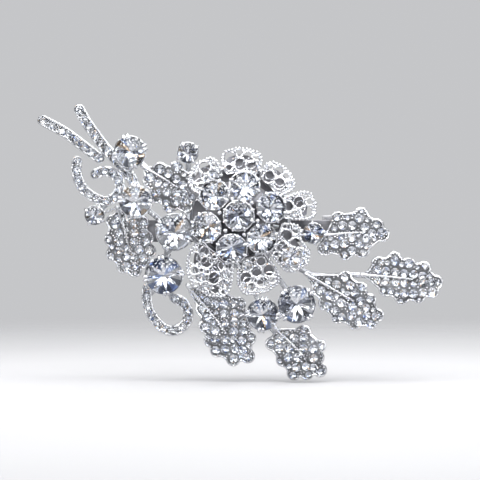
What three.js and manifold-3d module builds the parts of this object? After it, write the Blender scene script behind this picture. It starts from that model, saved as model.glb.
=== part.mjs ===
// Rhinestone hair clip: leaves, scrolls and an openwork flower, set with stones, on a French barrette.
// Millimetres. +X runs along the barrette, +Y points back into the hair and +Z is up as worn.
// The origin is the middle of the space that grips the hair.
import * as THREE from "three";
import { mergeVertices } from "three/addons/utils/BufferGeometryUtils.js";
import Module from "manifold-3d";

const wasm = await Module();
wasm.setup();

// ---- driving dimensions: depth of each layer, front faces towards -Y ----
const GAP = 0.3;
const BASE_BACK = -5.0;
const BASE_THICK = 1.0;
const FRAME_THICK = 1.6;
const CAST_THICK = 1.6;
const PETAL_THICK = 0.9;
const FRAME_BACK = BASE_BACK - BASE_THICK - GAP;
const FRAME_FRONT = FRAME_BACK - FRAME_THICK;
const CAST_BACK = FRAME_FRONT - GAP;
const CAST_FRONT = CAST_BACK - CAST_THICK;

// ---- driving dimensions: barrette ----
const BASE_LEFT = -30;
const BASE_RIGHT = 32;
const BASE_HALF_WIDTH = 2.9;
const HINGE_X = -28;
const HINGE_Y = 1.8;
const PIN_RADIUS = 0.6;
const PIN_HOLE_RADIUS = 0.9;
const EAR_THICK = 0.6;
const EAR_RADIUS = 2;
const KNUCKLE_RADIUS = 1.6;
const ARM_FRONT = 2.4;
const ARM_THICK = 1.0;
const ARM_HALF_WIDTH = 1.9;
const RIB_HEIGHT = 0.5;
const CATCH_X = 29.6;
const CATCH_HALF_HEIGHT = 4.2;
const WINDOW_HALF_HEIGHT = 3.1;
const LEG_ROOT_Y = -4.7;
const RIVET_X = 15;

// ---- driving dimensions: stones, as shares of the stone's radius ----
const PAVILION = 0.84;
const CROWN = 0.38;
const GIRDLE = 0.05;
const TABLE = 0.56;
const CUP_FLOOR = 0.5;
const SEAT_CLEARANCE = 0.35;
const ROUND_SIDES = 16;

// ---- driving dimensions: flower ----
const FLOWER = { x: 3.4, z: 4.0 };
const CLUSTER_RADIUS = 3.8;
const CLUSTER_CENTRE_Y = -16.6;
const CLUSTER_RING_Y = -15.0;
const CLUSTER_TILT = 16;
// angle from +X in degrees, distance from the flower's centre
const CLUSTER_RING = [[200, 8.9], [258, 8.7], [315, 8.4], [14, 8.6], [79, 7.7], [140, 8.3]];
const PETAL_INNER = 10.9;
const PETAL_OUTER_BACK = CAST_FRONT - GAP;
const PETAL_TILT = 10;
const PETAL_SCALLOP = 0.35;
const PETAL_SCALLOP_ANGLE = 10;
// outer edge of each petal: angle from +X in degrees, distance from the flower's centre
const PETALS = {
  petal_top: [[66, 15.5], [72, 17.0], [88, 17.6], [102, 17.0], [108, 15.2]],
  petal_upper_right: [[25, 15.4], [31, 16.8], [44, 17.2], [57, 16.6], [63, 15.0]],
  petal_right: [[-4, 17.4], [0, 19.6], [9, 20.2], [18, 19.4], [22, 16.8]],
  petal_lower_right: [[-51, 18.4], [-46, 20.2], [-36, 21.8], [-27, 21.0], [-23, 17.6], [-8, 15.4]],
  petal_bottom: [[-92, 17.5], [-86, 20.4], [-72, 21.0], [-60, 20.4], [-54, 17.8]],
  petal_lower_left: [[-148, 13.8], [-138, 18.4], [-124, 21.8], [-110, 22.2], [-99, 21.2], [-95, 18.0]],
  petal_upper_left: [[111, 15.4], [117, 16.8], [131, 17.4], [145, 16.0], [152, 13.6]],
};

// ---- leaves: points around the edge, starting at the stalk; a round lobe stands on each of the others ----
const LEAVES = {
  leaf_upper_right: {
    lobe: 2.0,
    edge: [
      [27.2, -1.0], [26.2, -4.7], [31.8, -5.8], [36.0, -5.2],
      [41.4, -0.9], [39.9, 1.3], [35.8, 4.3], [29.7, 3.2],
    ],
  },
  leaf_tip: {
    lobe: 1.9,
    edge: [
      [37.6, -11.8], [42.4, -15.6], [46.6, -17.7], [51.0, -17.3], [54.6, -15.9],
      [55.7, -13.6], [52.4, -9.9], [48.4, -9.0], [44.6, -7.3], [40.4, -8.6],
    ],
  },
  leaf_lower_right: {
    lobe: 1.8,
    edge: [
      [22.6, -12.4], [24.4, -15.6], [26.2, -19.4], [29.6, -22.8], [34.2, -24.5],
      [38.6, -24.2], [40.2, -22.4], [38.0, -18.4], [35.6, -15.2], [31.6, -12.4],
    ],
  },
  leaf_bottom: {
    lobe: 1.9,
    edge: [
      [13.8, -26.8], [12.3, -29.9], [15.1, -34.1], [18.0, -37.7], [21.4, -37.6],
      [24.9, -36.9], [24.2, -33.6], [24.6, -30.6], [20.6, -26.8],
    ],
  },
  leaf_lower_left: {
    lobe: 1.9,
    edge: [
      [-9.0, -15.8], [-6.2, -20.8], [-5.4, -25.2], [-4.0, -29.0], [-2.4, -31.6], [1.9, -34.0],
      [5.8, -33.2], [6.1, -28.4], [4.8, -23.4], [3.4, -19.4], [-2.0, -16.2],
    ],
  },
  leaf_left: {
    lobe: 1.9,
    edge: [
      [-28.2, 5.0], [-30.0, 2.6], [-30.4, -2.2], [-30.0, -6.2], [-27.2, -9.4],
      [-24.2, -10.4], [-21.9, -8.2], [-20.4, -5.4], [-21.0, -1.8], [-22.2, 2.2],
    ],
  },
  leaf_top_left: {
    lobe: 1.9,
    edge: [
      [-21.0, 16.2], [-20.2, 13.2], [-18.4, 9.2], [-15.0, 6.5], [-10.6, 6.6],
      [-8.6, 9.6], [-9.4, 13.8], [-13.2, 16.6], [-17.6, 16.4],
    ],
  },
};
// how far the leaf reaches outside the line through its edge points, as a share of the lobe
const LEAF_MARGIN = 0.5;
const LOBE_SIDES = 14;

// ---- round stones in claw cups: centre, radius, and the depth that the cup stands on ----
const CUPS = {
  stem: { at: [-25.4, 20.9], radius: 4.05, back: CAST_BACK },
  scroll: { at: [-23.9, 7.8], radius: 4.05, back: CAST_FRONT - GAP },
  left_upper: { at: [-13.6, -0.3], radius: 4.7, back: CAST_BACK },
  left_lower: { at: [-16.4, -11.8], radius: 4.8, back: CAST_BACK },
  bottom: { at: [9.7, -22.1], radius: 4.1, back: CAST_BACK },
  bottom_right: { at: [18.7, -19.4], radius: 4.8, back: CAST_BACK },
  accent_top: { at: [-10.1, 20.7], radius: 2.6, back: CAST_BACK },
  accent_left: { at: [-34.8, 4.1], radius: 2.4, back: CAST_BACK },
  accent_petal: { at: [17.3, -6.6], radius: 2.4, back: -12.5 },
  accent_right: { at: [23.2, -0.6], radius: 2.6, back: CAST_BACK },
};
const CUP_FOOT_RADIUS = 1.4;

// ---- bands set with stones ----
const STEM_HALF_WIDTH = 1.4;
const SCROLL_HALF_WIDTH = 1.3;
const STEMS = {
  stem_lower: [[-48.6, 29.3], [-42.7, 26.1], [-38.1, 22.7], [-33.6, 19.3]],
  stem_upper: [[-38.9, 32.2], [-36.6, 28.2], [-32.2, 22.2], [-28.5, 18.1], [-24.8, 13.5], [-24.1, 8.2]],
};
// centre, coil radius, how far the free end opens out, first and last angle, turn over which it opens
const SCROLLS = {
  scroll_upper: { at: [-32.1, 11.9], coil: 4.0, open: 6.0, from: 138, to: 490, over: 110 },
  scroll_lower: { at: [-14.3, -22.2], coil: 4.3, open: 5.3, from: 133, to: 440, over: 90 },
};

// ---- support frame: arms that run from the hub behind the castings ----
const HUB_RADIUS = 14;
const ARM_HALF = 1.2;
const FRAME_ARMS = [
  [[3.4, 3.0], [23.2, -0.6], [35, -0.6]],
  [[3.4, 3.0], [21.0, -10.8], [34.2, -11.7], [45, -12.9]],
  [[21.0, -10.8], [32, -18]],
  [[3.4, 3.0], [9.7, -22.1], [19, -32]],
  [[3.4, 3.0], [18.7, -19.4]],
  [[3.4, 3.0], [-5, -19], [0, -27]],
  [[3.4, 3.0], [-13.6, -0.3], [-16.4, -11.8], [-20.9, -17.6]],
  [[-16.4, -11.8], [-14.3, -18.2]],
  [[-13.6, -0.3], [-23.9, 7.8], [-29.4, 8.8], [-34.8, 4.1]],
  [[-23.9, 7.8], [-27.0, 0], [-25.5, -7]],
  [[3.4, 3.0], [-10, 10], [-21.2, 16.8], [-25.4, 20.9], [-34.2, 20.4]],
  [[-10, 10], [-10.1, 20.7]],
];

// ---- materials ----
const SILVER = { color: 0xd6d8dc, roughness: 0.2, metalness: 1.0 };
const CRYSTAL = { color: 0xdde4f0, roughness: 0.04, metalness: 0.0 };
const STEEL = { color: 0xb9bcc0, roughness: 0.34, metalness: 1.0 };
const SPRING_STEEL = { color: 0xa6a9ae, roughness: 0.28, metalness: 1.0 };

const clip = new THREE.Group();

function addMesh(parent, name, geometry, look) {
  const mesh = new THREE.Mesh(geometry, new THREE.MeshStandardMaterial(look));
  mesh.name = name;
  parent.add(mesh);
  return mesh;
}

function radians(degrees) {
  return THREE.MathUtils.degToRad(degrees);
}

// ---- solids ----
function toSolid(geometry) {
  const bare = geometry.index ? geometry.toNonIndexed() : geometry.clone();
  bare.deleteAttribute("normal");
  bare.deleteAttribute("uv");
  const merged = mergeVertices(bare, 1e-4);
  return new wasm.Manifold(new wasm.Mesh({
    numProp: 3,
    vertProperties: new Float32Array(merged.attributes.position.array),
    triVerts: new Uint32Array(merged.index.array),
  }));
}

function toGeometry(solid) {
  const mesh = solid.getMesh();
  const geometry = new THREE.BufferGeometry();
  geometry.setAttribute("position", new THREE.BufferAttribute(mesh.vertProperties, 3));
  geometry.setIndex(new THREE.BufferAttribute(mesh.triVerts, 1));
  geometry.computeVertexNormals();
  return geometry;
}

// A plate whose outline is drawn as seen from the front; its back face is at y = 0.
function plate(shape, thickness) {
  const settings = { depth: thickness, bevelEnabled: false, curveSegments: 6 };
  return new THREE.ExtrudeGeometry(shape, settings).rotateX(Math.PI / 2);
}

// A strip whose outline is drawn in X and Y, centred on z = 0.
function strip(shape, width) {
  const settings = { depth: width, bevelEnabled: false, curveSegments: 8 };
  return new THREE.ExtrudeGeometry(shape, settings).translate(0, 0, -width / 2);
}

function boxAt(x0, x1, y0, y1, z0, z1) {
  const box = new THREE.BoxGeometry(x1 - x0, y1 - y0, z1 - z0);
  return box.translate((x0 + x1) / 2, (y0 + y1) / 2, (z0 + z1) / 2);
}

// A round piece turned about Y; the profile gives radius and y, from the front to the back.
function turned(profile) {
  const points = profile.map(([radius, y]) => new THREE.Vector2(radius, y));
  return new THREE.LatheGeometry(points, ROUND_SIDES);
}

function pinAlongZ(radius, x, y, halfLength) {
  const pin = new THREE.CylinderGeometry(radius, radius, 2 * halfLength, ROUND_SIDES);
  return pin.rotateX(Math.PI / 2).translate(x, y, 0);
}

// ---- outlines ----
function ribbonShape(points, halfWidth) {
  const left = [];
  const right = [];
  points.forEach((point, i) => {
    const ahead = points[Math.min(i + 1, points.length - 1)];
    const behind = points[Math.max(i - 1, 0)];
    const along = ahead.clone().sub(behind).normalize().multiplyScalar(halfWidth);
    left.push(new THREE.Vector2(point.x - along.y, point.y + along.x));
    right.unshift(new THREE.Vector2(point.x + along.y, point.y - along.x));
  });
  const last = points.length - 1;
  const endCap = roundEnd(points[last], left[last], halfWidth);
  const startCap = roundEnd(points[0], right[last], halfWidth);
  return new THREE.Shape([...left, ...endCap, ...right, ...startCap]);
}

function roundEnd(centre, from, radius) {
  const steps = 6;
  const start = Math.atan2(from.y - centre.y, from.x - centre.x);
  return Array.from({ length: steps - 1 }, (_, i) => {
    const angle = start - (Math.PI * (i + 1)) / steps;
    return new THREE.Vector2(centre.x + radius * Math.cos(angle), centre.y + radius * Math.sin(angle));
  });
}

function smoothPath(corners, steps) {
  const curve = new THREE.SplineCurve(corners.map(([x, z]) => new THREE.Vector2(x, z)));
  return curve.getPoints(steps);
}

function leafSection({ edge, lobe }) {
  const body = new wasm.CrossSection([edge]).offset(LEAF_MARGIN * lobe, "Round", 2, LOBE_SIDES);
  const lobes = edge.slice(1).map((point) => wasm.CrossSection.circle(lobe, LOBE_SIDES).translate(point));
  return wasm.CrossSection.union([body, ...lobes]).simplify(0.05);
}

function distanceAt(edge, angle) {
  const next = Math.max(1, edge.findIndex(([knot]) => knot >= angle));
  const [fromAngle, from] = edge[next - 1];
  const [toAngle, to] = edge[next];
  return THREE.MathUtils.lerp(from, to, (angle - fromAngle) / (toAngle - fromAngle));
}

// A petal between the inner circle and its scalloped edge; x runs out along its middle and is 0 at reach.
function petalShape(edge, middle, reach) {
  const first = edge[0][0];
  const span = edge[edge.length - 1][0] - first;
  const pointsPerScallop = 4;
  const count = pointsPerScallop * Math.round(span / PETAL_SCALLOP_ANGLE);
  const at = (distance, angle) => {
    const turn = radians(angle - middle);
    return new THREE.Vector2(distance * Math.cos(turn) - reach, distance * Math.sin(turn));
  };
  const outer = [];
  const inner = [];
  for (let i = 0; i <= count; i++) {
    const angle = first + (span * i) / count;
    const scallop = PETAL_SCALLOP * Math.abs(Math.sin((Math.PI * i) / pointsPerScallop));
    outer.push(at(distanceAt(edge, angle) + scallop, angle));
    inner.unshift(at(PETAL_INNER, angle));
  }
  return new THREE.Shape([...outer, ...inner]);
}

// ---- stones and their cups, with the girdle at y = 0 and the table towards -Y ----
function stoneGeometry(radius) {
  return turned([
    [0, -CROWN * radius],
    [TABLE * radius, -CROWN * radius],
    [radius, -GIRDLE * radius],
    [radius, GIRDLE * radius],
    [0, PAVILION * radius],
  ]);
}

function seatDepth(radius) {
  return PAVILION * radius + SEAT_CLEARANCE;
}

function cupGeometry(radius) {
  const rim = 0.5;
  return turned([
    [0, seatDepth(radius)],
    [radius - 0.1, rim],
    [radius + 0.25, rim],
    [CUP_FOOT_RADIUS, seatDepth(radius) + CUP_FLOOR],
    [0, seatDepth(radius) + CUP_FLOOR],
  ]);
}

function addCupAndStone(name, { at, radius, back }) {
  const girdleY = back - seatDepth(radius) - CUP_FLOOR;
  const cup = addMesh(clip, `cup_${name}`, cupGeometry(radius), SILVER);
  const stone = addMesh(clip, `stone_${name}`, stoneGeometry(radius), CRYSTAL);
  cup.position.set(at[0], girdleY, at[1]);
  stone.position.set(at[0], girdleY, at[1]);
}

// ---- flower ----
// Each stone of the cluster sits in its own turned group; the same placing cuts its seat in the basket.
function clusterPlaces() {
  const middle = new THREE.Matrix4().makeTranslation(FLOWER.x, CLUSTER_CENTRE_Y, FLOWER.z);
  const ring = CLUSTER_RING.map(([angle, distance], i) => {
    const x = FLOWER.x + distance * Math.cos(radians(angle));
    const z = FLOWER.z + distance * Math.sin(radians(angle));
    const tangent = new THREE.Vector3(-Math.sin(radians(angle)), 0, Math.cos(radians(angle)));
    const matrix = new THREE.Matrix4().makeRotationAxis(tangent, radians(CLUSTER_TILT));
    return { name: `${i + 1}`, matrix: matrix.setPosition(x, CLUSTER_RING_Y, z) };
  });
  return [{ name: "centre", matrix: middle }, ...ring];
}

function addClusterStones() {
  for (const { name, matrix } of clusterPlaces()) {
    const stone = addMesh(clip, `cluster_stone_${name}`, stoneGeometry(CLUSTER_RADIUS), CRYSTAL);
    stone.applyMatrix4(matrix);
  }
}

function addClusterBasket() {
  const dome = turned([
    [0, -14.0],
    [4.6, -13.6],
    [9.6, -10.2],
    [9.6, CAST_BACK],
    [0, CAST_BACK],
  ]);
  let basket = toSolid(dome.translate(FLOWER.x, 0, FLOWER.z));
  const wide = CLUSTER_RADIUS + SEAT_CLEARANCE;
  const seat = turned([[0, -4], [wide, -4], [wide, 0], [0, seatDepth(CLUSTER_RADIUS)]]);
  for (const { matrix } of clusterPlaces()) {
    basket = basket.subtract(toSolid(seat.clone().applyMatrix4(matrix)));
  }
  addMesh(clip, "cluster_basket", toGeometry(basket), SILVER);
}

// A petal's frame has its x axis running out from the flower and is tipped so that the outer end drops back.
function addPetal(name, edge) {
  const middle = (edge[0][0] + edge[edge.length - 1][0]) / 2;
  const reach = Math.max(...edge.map(([, distance]) => distance));
  const turn = new THREE.Group();
  turn.position.set(FLOWER.x, 0, FLOWER.z);
  turn.rotation.y = -radians(middle);
  const hinge = new THREE.Group();
  hinge.position.set(reach, PETAL_OUTER_BACK, 0);
  hinge.rotation.z = radians(PETAL_TILT);
  addMesh(hinge, name, plate(petalShape(edge, middle, reach), PETAL_THICK), SILVER);
  turn.add(hinge);
  clip.add(turn);
}

// ---- castings ----
function addLeaf(name, settings) {
  const solid = leafSection(settings).extrude(CAST_THICK).rotate([90, 0, 0]).translate([0, CAST_BACK, 0]);
  addMesh(clip, name, toGeometry(solid), SILVER);
}

function addStem(name, corners) {
  const shape = ribbonShape(smoothPath(corners, 4 * corners.length), STEM_HALF_WIDTH);
  const stem = addMesh(clip, name, plate(shape, CAST_THICK), SILVER);
  stem.position.y = CAST_BACK;
}

function scrollPath({ at, coil, open, from, to, over }) {
  const steps = 36;
  return Array.from({ length: steps + 1 }, (_, i) => {
    const angle = from + ((to - from) * i) / steps;
    const left = Math.max(0, 1 - (angle - from) / over);
    const radius = coil + open * left * left;
    const direction = new THREE.Vector2(Math.cos(radians(angle)), Math.sin(radians(angle)));
    return direction.multiplyScalar(radius).add(new THREE.Vector2(...at));
  });
}

function addScroll(name, settings) {
  const shape = ribbonShape(scrollPath(settings), SCROLL_HALF_WIDTH);
  const scroll = addMesh(clip, name, plate(shape, CAST_THICK), SILVER);
  scroll.position.y = CAST_BACK;
}

function addBackFrame() {
  const hub = new THREE.CylinderGeometry(HUB_RADIUS, HUB_RADIUS, FRAME_THICK, 32);
  let frame = toSolid(hub.translate(FLOWER.x, FRAME_BACK - FRAME_THICK / 2, FLOWER.z));
  for (const corners of FRAME_ARMS) {
    const arm = plate(ribbonShape(smoothPath(corners, 2 * corners.length), ARM_HALF), FRAME_THICK);
    frame = frame.add(toSolid(arm.translate(0, FRAME_BACK, 0)));
  }
  addMesh(clip, "back_frame", toGeometry(frame), SILVER);
}

// ---- barrette ----
function baseOutline() {
  const shape = new THREE.Shape();
  shape.absarc(BASE_RIGHT - BASE_HALF_WIDTH, 0, BASE_HALF_WIDTH, -Math.PI / 2, Math.PI / 2, false);
  shape.lineTo(BASE_LEFT, BASE_HALF_WIDTH);
  shape.lineTo(BASE_LEFT, -BASE_HALF_WIDTH);
  return shape;
}

function earOutline() {
  const root = BASE_BACK - BASE_THICK / 2;
  const shape = new THREE.Shape();
  shape.moveTo(HINGE_X - EAR_RADIUS, root);
  shape.lineTo(HINGE_X + EAR_RADIUS, root);
  shape.absarc(HINGE_X, HINGE_Y, EAR_RADIUS, 0, Math.PI, false);
  return shape;
}

function addBarretteBase() {
  let base = toSolid(plate(baseOutline(), BASE_THICK).translate(0, BASE_BACK, 0));
  for (const side of [-1, 1]) {
    const z = side * (BASE_HALF_WIDTH - EAR_THICK / 2);
    base = base.add(toSolid(strip(earOutline(), EAR_THICK).translate(0, 0, z)));
    const hole = turned([[0, -8], [1.1, -8], [1.1, -3], [0, -3]]);
    base = base.subtract(toSolid(hole.translate(side * RIVET_X, 0, 0)));
  }
  base = base.subtract(toSolid(pinAlongZ(PIN_HOLE_RADIUS, HINGE_X, HINGE_Y, 6)));
  addMesh(clip, "barrette_base", toGeometry(base), STEEL);
}

function addRivets() {
  const rivet = turned([
    [0, BASE_BACK - BASE_THICK],
    [0.8, BASE_BACK - BASE_THICK],
    [0.8, BASE_BACK + GAP],
    [1.6, BASE_BACK + GAP],
    [1.2, BASE_BACK + GAP + 0.4],
    [0, BASE_BACK + GAP + 0.4],
  ]);
  for (const [name, side] of [["rivet_left", -1], ["rivet_right", 1]]) {
    const mesh = addMesh(clip, name, rivet.clone(), STEEL);
    mesh.position.x = side * RIVET_X;
  }
}

function addHingePin() {
  const reach = BASE_HALF_WIDTH + 0.8;
  addMesh(clip, "hinge_pin", pinAlongZ(PIN_RADIUS, HINGE_X, HINGE_Y, reach), STEEL);
}

// The clasp arm: a knuckle on the pin, a ribbed bar, and an end frame whose window drops over the catch legs.
function addClaspArm() {
  const back = ARM_FRONT + ARM_THICK;
  const bar = boxAt(HINGE_X, CATCH_X - 3, ARM_FRONT, back, -ARM_HALF_WIDTH, ARM_HALF_WIDTH);
  const height = CATCH_HALF_HEIGHT;
  const endFrame = boxAt(CATCH_X - 3.6, CATCH_X + 3.6, ARM_FRONT, back, -height, height);
  const window = boxAt(CATCH_X - 2.1, CATCH_X + 2.1, 0, 6, -WINDOW_HALF_HEIGHT, WINDOW_HALF_HEIGHT);
  const rib = boxAt(-20, 20, ARM_FRONT + ARM_THICK / 2, back + RIB_HEIGHT, -1.2, 1.2);
  const knuckle = pinAlongZ(KNUCKLE_RADIUS, HINGE_X, HINGE_Y, ARM_HALF_WIDTH);
  const bore = pinAlongZ(PIN_HOLE_RADIUS, HINGE_X, HINGE_Y, 6);
  const arm = toSolid(bar)
    .add(toSolid(endFrame))
    .add(toSolid(rib))
    .add(toSolid(knuckle))
    .subtract(toSolid(window))
    .subtract(toSolid(bore));
  addMesh(clip, "clasp_arm", toGeometry(arm), STEEL);
}

// The tension bar: a bowed leaf spring between the base and the clasp arm.
function addTensionBar() {
  const bow = smoothPath([[-24.6, -4.2], [-12, -3.1], [0, -2.65], [12, -2.75], [25, -3.4]], 20);
  addMesh(clip, "tension_bar", strip(ribbonShape(bow, 0.25), 3.6), SPRING_STEEL);
}

// A catch leg: a springy upright with an outward barb behind the clasp arm and a finger pad at its end.
function legOutline(side) {
  const corners = [
    [1.6, LEG_ROOT_Y], [2.3, LEG_ROOT_Y], [2.3, 3.75], [2.95, 3.75],
    [2.95, 4.1], [2.3, 5.1], [2.7, 6.5], [1.6, 6.5],
  ];
  return new THREE.Shape(corners.map(([z, y]) => new THREE.Vector2(side * z, y)));
}

function addCatchLegs() {
  const width = 3.0;
  for (const [name, side] of [["catch_leg_upper", 1], ["catch_leg_lower", -1]]) {
    const leg = new THREE.ExtrudeGeometry(legOutline(side), { depth: width, bevelEnabled: false });
    leg.rotateY(-Math.PI / 2).translate(width / 2, 0, 0);
    const mesh = addMesh(clip, name, leg, SPRING_STEEL);
    mesh.position.x = CATCH_X;
  }
}

addBackFrame();
Object.entries(LEAVES).forEach(([name, leaf]) => addLeaf(name, leaf));
Object.entries(STEMS).forEach(([name, corners]) => addStem(name, corners));
Object.entries(SCROLLS).forEach(([name, settings]) => addScroll(name, settings));
Object.entries(PETALS).forEach(([name, petal]) => addPetal(name, petal));
addClusterBasket();
addClusterStones();
Object.entries(CUPS).forEach(([name, cup]) => addCupAndStone(name, cup));
addBarretteBase();
addRivets();
addHingePin();
addClaspArm();
addTensionBar();
addCatchLegs();

export default clip;
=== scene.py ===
"""Looks of the rhinestone hair clip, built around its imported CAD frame.

Row frame: +X along the barrette, -Y the decorated side, +Z up as worn.
Helpers work in millimetres; pieces are turned into metres when they are made.
"""

import math
import random
import bmesh
import bpy
import numpy as np
from mathutils import Matrix, Vector
from mathutils.geometry import delaunay_2d_cdt


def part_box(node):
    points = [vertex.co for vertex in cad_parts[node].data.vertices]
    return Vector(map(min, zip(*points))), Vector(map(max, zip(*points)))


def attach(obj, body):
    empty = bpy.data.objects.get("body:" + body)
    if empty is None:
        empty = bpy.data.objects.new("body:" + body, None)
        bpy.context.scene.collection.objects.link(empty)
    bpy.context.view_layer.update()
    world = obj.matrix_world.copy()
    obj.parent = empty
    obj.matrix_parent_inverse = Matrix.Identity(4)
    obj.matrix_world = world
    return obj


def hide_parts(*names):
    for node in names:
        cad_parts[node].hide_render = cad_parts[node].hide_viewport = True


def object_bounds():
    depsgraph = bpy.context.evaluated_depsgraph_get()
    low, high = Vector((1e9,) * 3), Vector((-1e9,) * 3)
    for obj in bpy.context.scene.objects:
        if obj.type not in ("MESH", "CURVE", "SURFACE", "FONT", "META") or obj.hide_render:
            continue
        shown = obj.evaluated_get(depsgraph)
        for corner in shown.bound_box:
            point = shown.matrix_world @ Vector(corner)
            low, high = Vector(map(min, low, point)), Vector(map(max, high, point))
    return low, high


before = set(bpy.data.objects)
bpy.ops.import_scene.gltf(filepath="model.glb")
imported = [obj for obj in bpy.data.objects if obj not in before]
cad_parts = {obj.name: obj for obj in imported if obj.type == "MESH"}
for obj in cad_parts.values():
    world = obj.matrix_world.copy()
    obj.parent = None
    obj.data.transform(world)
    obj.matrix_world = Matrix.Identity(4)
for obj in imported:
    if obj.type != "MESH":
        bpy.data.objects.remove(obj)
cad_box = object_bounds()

MM = 0.001
SEED = 7
UP = Vector((0, 0, 1))
BACKWARD = Vector((0, 1, 0))

# ---- driving dimensions in millimetres, the same as the CAD's ----
CAST_BACK = -8.2
FLOWER = (3.4, 4.0)
CLUSTER_TILT = 16
CUP_FOOT_RADIUS = 1.4
# depths of a large stone's parts, as shares of its radius
CROWN = 0.38
GIRDLE = 0.05
PAVILION = 0.84
# base and tip of each leaf's midrib
MIDRIBS = {
    "leaf_upper_right": ((26.6, -1.1), (43.0, -0.4)),
    "leaf_tip": ((36.8, -11.7), (57.0, -14.0)),
    "leaf_lower_right": ((21.8, -11.8), (41.0, -23.4)),
    "leaf_bottom": ((13.2, -26.0), (25.0, -38.2)),
    "leaf_lower_left": ((-9.6, -15.2), (5.6, -34.6)),
    "leaf_left": ((-28.6, 5.6), (-24.0, -12.2)),
    "leaf_top_left": ((-21.6, 16.8), (-7.6, 7.8)),
}
PETALS = ["top", "upper_right", "right", "lower_right", "bottom", "lower_left", "upper_left"]
CUPS = ["stem", "scroll", "left_upper", "left_lower", "bottom", "bottom_right"]
CUPS += ["accent_top", "accent_left", "accent_petal", "accent_right"]
CLUSTER = ["centre", "1", "2", "3", "4", "5", "6"]
# corners of each stem's middle line, then the arcs of the scrolls
STEMS = {
    "stem_lower": [(-48.6, 29.3), (-42.7, 26.1), (-38.1, 22.7), (-33.6, 19.3)],
    "stem_upper": [(-38.9, 32.2), (-36.6, 28.2), (-32.2, 22.2), (-28.5, 18.1), (-24.8, 13.5), (-24.1, 8.2)],
}
STEM_HALF_WIDTH = 1.4
SCROLL_HALF_WIDTH = 1.3
SCROLLS = {
    "scroll_upper": dict(at=(-32.1, 11.9), coil=4.0, open=6.0, start=138, end=490, over=110),
    "scroll_lower": dict(at=(-14.3, -22.2), coil=4.3, open=5.3, start=133, end=440, over=90),
}
# the frame's depth, its arms' half thickness and the paths of the arms' middle lines
FRAME_MIDDLE = -7.1
FRAME_HALF = 0.8
HUB_RADIUS = 14
FRAME_ARMS = [
    [(3.4, 3.0), (23.2, -0.6), (35, -0.6)],
    [(3.4, 3.0), (21.0, -10.8), (34.2, -11.7), (45, -12.9)],
    [(21.0, -10.8), (32, -18)],
    [(3.4, 3.0), (9.7, -22.1), (19, -32)],
    [(3.4, 3.0), (18.7, -19.4)],
    [(3.4, 3.0), (-5, -19), (0, -27)],
    [(3.4, 3.0), (-13.6, -0.3), (-16.4, -11.8), (-20.9, -17.6)],
    [(-16.4, -11.8), (-14.3, -18.2)],
    [(-13.6, -0.3), (-23.9, 7.8), (-29.4, 8.8), (-34.8, 4.1)],
    [(-23.9, 7.8), (-27.0, 0), (-25.5, -7)],
    [(3.4, 3.0), (-10, 10), (-21.2, 16.8), (-25.4, 20.9), (-34.2, 20.4)],
    [(-10, 10), (-10.1, 20.7)],
]

# ---- small detail that only the looks have, in millimetres ----
# cut of the stones: widths and depths are shares of the radius
TABLE = 0.56
KEEL = 0.26
PAVE_TABLE = 0.74
PAVE_CROWN = 0.24
FACET_LEAN = 0.08
# trays that hold the small stones
TRAY_FLOOR = -8.8
STONE_LIFT = 1.12
SEAT_DEPTH = STONE_LIFT + 0.1
RIM_RISE = 0.72
RIM_RADIUS = 0.32
BACK_WIRE = 0.18
# leaves
PAVE_RADII = (1.2, 0.95, 0.7)
PAVE_FIT = 0.97
PAVE_TILT = 0.12
GRAIN_RADIUS = 0.3
LEAF_BULGE = 0.8
MIDRIB_SHARE = 0.62
MIDRIB_LIFT = 1.3
MIDRIB_RADIUS = 0.46
MIDRIB_TAPER = 0.26
# bands
BAND_WALL = 0.1
BAND_STONE_GAP = 0.03
BAND_BEAD = 0.32
# petals: how many rings of each radius at the most, and how far they overlap
LACE_RADII = ((1.7, 4), (1.4, 7), (1.1, 40), (0.8, 14))
UNDER_LACE_RADII = ((1.55, 6), (1.2, 12))
LACE_OVERLAP = 0.15
LACE_WIRE = 0.23
UNDER_LACE_WIRE = 0.24
LACE_STONE_CHANCE = 0.3
LACE_STONE_INSET = 0.28
PETAL_RIM = 0.32
PETAL_BEAD = 0.42
PETAL_BEAD_SPACING = 0.98
# the painted-shade backing behind each petal's lace: its share of the petal and its depths
BACKING_SHARE = 0.8
BACKING_LIFTS = (-1.35, -1.6)
# claws, the posts between cluster stones and the beaded bars between cups
CLAW_WIRE = 0.36
SMALL_CLAW_WIRE = 0.32
CLUSTER_CLAW_WIRE = 0.33
GAP_POST = [(0, 3.4), (0.5, 3.4), (0.42, -0.2), (0.62, -0.45), (0.58, -0.85), (0.34, -1.1), (0, -1.2)]
LINKS = [("scroll", "left_upper"), ("left_upper", "left_lower")]
LINKS += [("bottom", "bottom_right"), ("accent_left", "scroll")]
LINK_BEAD = 0.5
LINK_SPACING = 0.98
# the rim of the frame's dished hub as steps in from its edge and depths, and the rings and ribs on it
HUB_RIM = [(2.2, 0.5), (1.4, 0.35), (0.8, 0.6), (0.1, 0.1), (0.2, -0.5), (0.9, -0.75), (1.6, -0.35)]
HUB_PROFILE = [(0, 0.5), *((HUB_RADIUS - step, depth) for step, depth in HUB_RIM), (0, -0.3)]
# a thin disc over the hub's front in the painted-shade dark silver: painted shade behind the flower
HUB_LINER = [(0, -0.3), (HUB_RADIUS - 1.7, -0.3), (HUB_RADIUS - 1.7, -0.45), (0, -0.45)]
HUB_RINGS = (4.5, 8.2, 11.4)
HUB_RING_WIRE = 0.28
HUB_RIB = (4.5, 7.0, 9.5, 11.8)
HUB_RIB_WIRE = 0.24

# ---- grain of the finishes ----
METAL_DRIFT = 180
GLASS_DRIFT = 240
FOIL_DRIFT = 420
GRAIN_DEPTH = 0.00004
CRYSTAL_IOR = 1.56

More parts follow.
